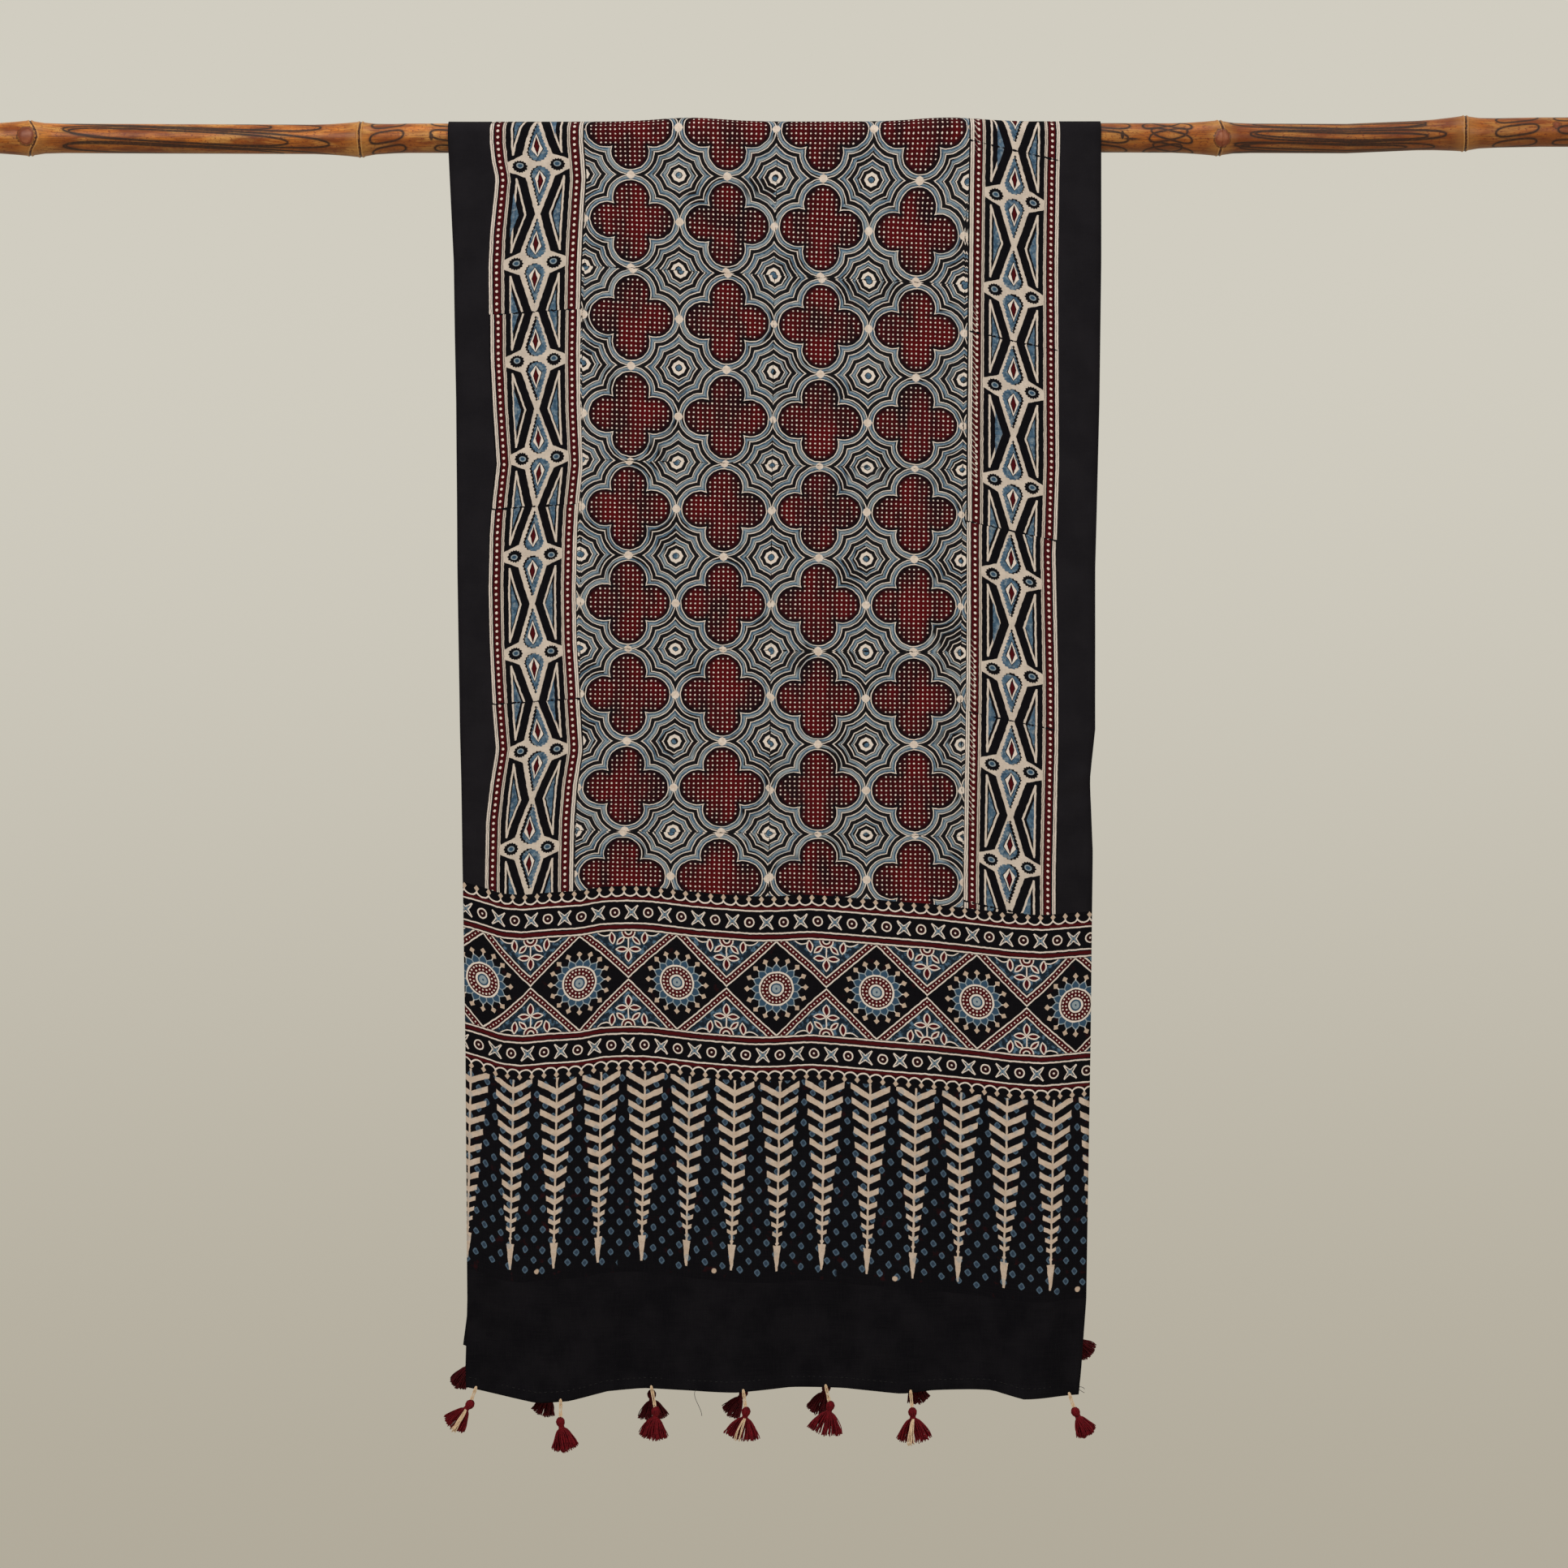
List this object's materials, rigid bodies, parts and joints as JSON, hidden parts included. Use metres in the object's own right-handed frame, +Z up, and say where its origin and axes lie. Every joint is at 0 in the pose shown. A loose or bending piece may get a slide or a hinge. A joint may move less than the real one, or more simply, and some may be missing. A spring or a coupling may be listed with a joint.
{
  "type": "ajrakh stole on a bamboo pole",
  "caption": "Long block-printed cotton stole with small yarn tassels at both ends, hung over a round bamboo pole.",
  "frame": {"origin": "on the pole's axis, at the middle of the pole's length, where the pole is held", "axes": "+X along the pole to the viewer's right, +Y away from the viewer, from the front end of the stole to its back end, +Z up"},
  "size_m": [1.36, 0.0577, 1.1273],
  "materials": {
    "printed_cotton": "matt printed cotton with a soft sheen",
    "bamboo": "varnished, scorched markings",
    "red_yarn": "soft twisted yarn",
    "cream_thread": "matt twisted thread"
  },
  "bodies": {
    "root": {"bamboo_pole": "bamboo", "ajrakh_stole": "printed_cotton", "tassel_back_1": "red_yarn", "tassel_back_2": "red_yarn", "tassel_back_3": "red_yarn", "tassel_back_4": "red_yarn", "tassel_back_5": "red_yarn", "tassel_back_6": "red_yarn", "tassel_back_7": "red_yarn", "tassel_back_8": "red_yarn", "tassel_front_1": "red_yarn", "tassel_front_2": "red_yarn", "tassel_front_3": "red_yarn", "tassel_front_4": "red_yarn", "tassel_front_5": "red_yarn", "tassel_front_6": "red_yarn", "tassel_front_7": "red_yarn", "loop_back_1": "cream_thread", "loop_back_2": "cream_thread", "loop_back_3": "cream_thread", "loop_back_4": "cream_thread", "loop_back_5": "cream_thread", "loop_back_6": "cream_thread", "loop_back_7": "cream_thread", "loop_back_8": "cream_thread", "loop_front_1": "cream_thread", "loop_front_2": "cream_thread", "loop_front_3": "cream_thread", "loop_front_4": "cream_thread", "loop_front_5": "cream_thread", "loop_front_6": "cream_thread", "loop_front_7": "cream_thread"}
  },
  "joints": []
}
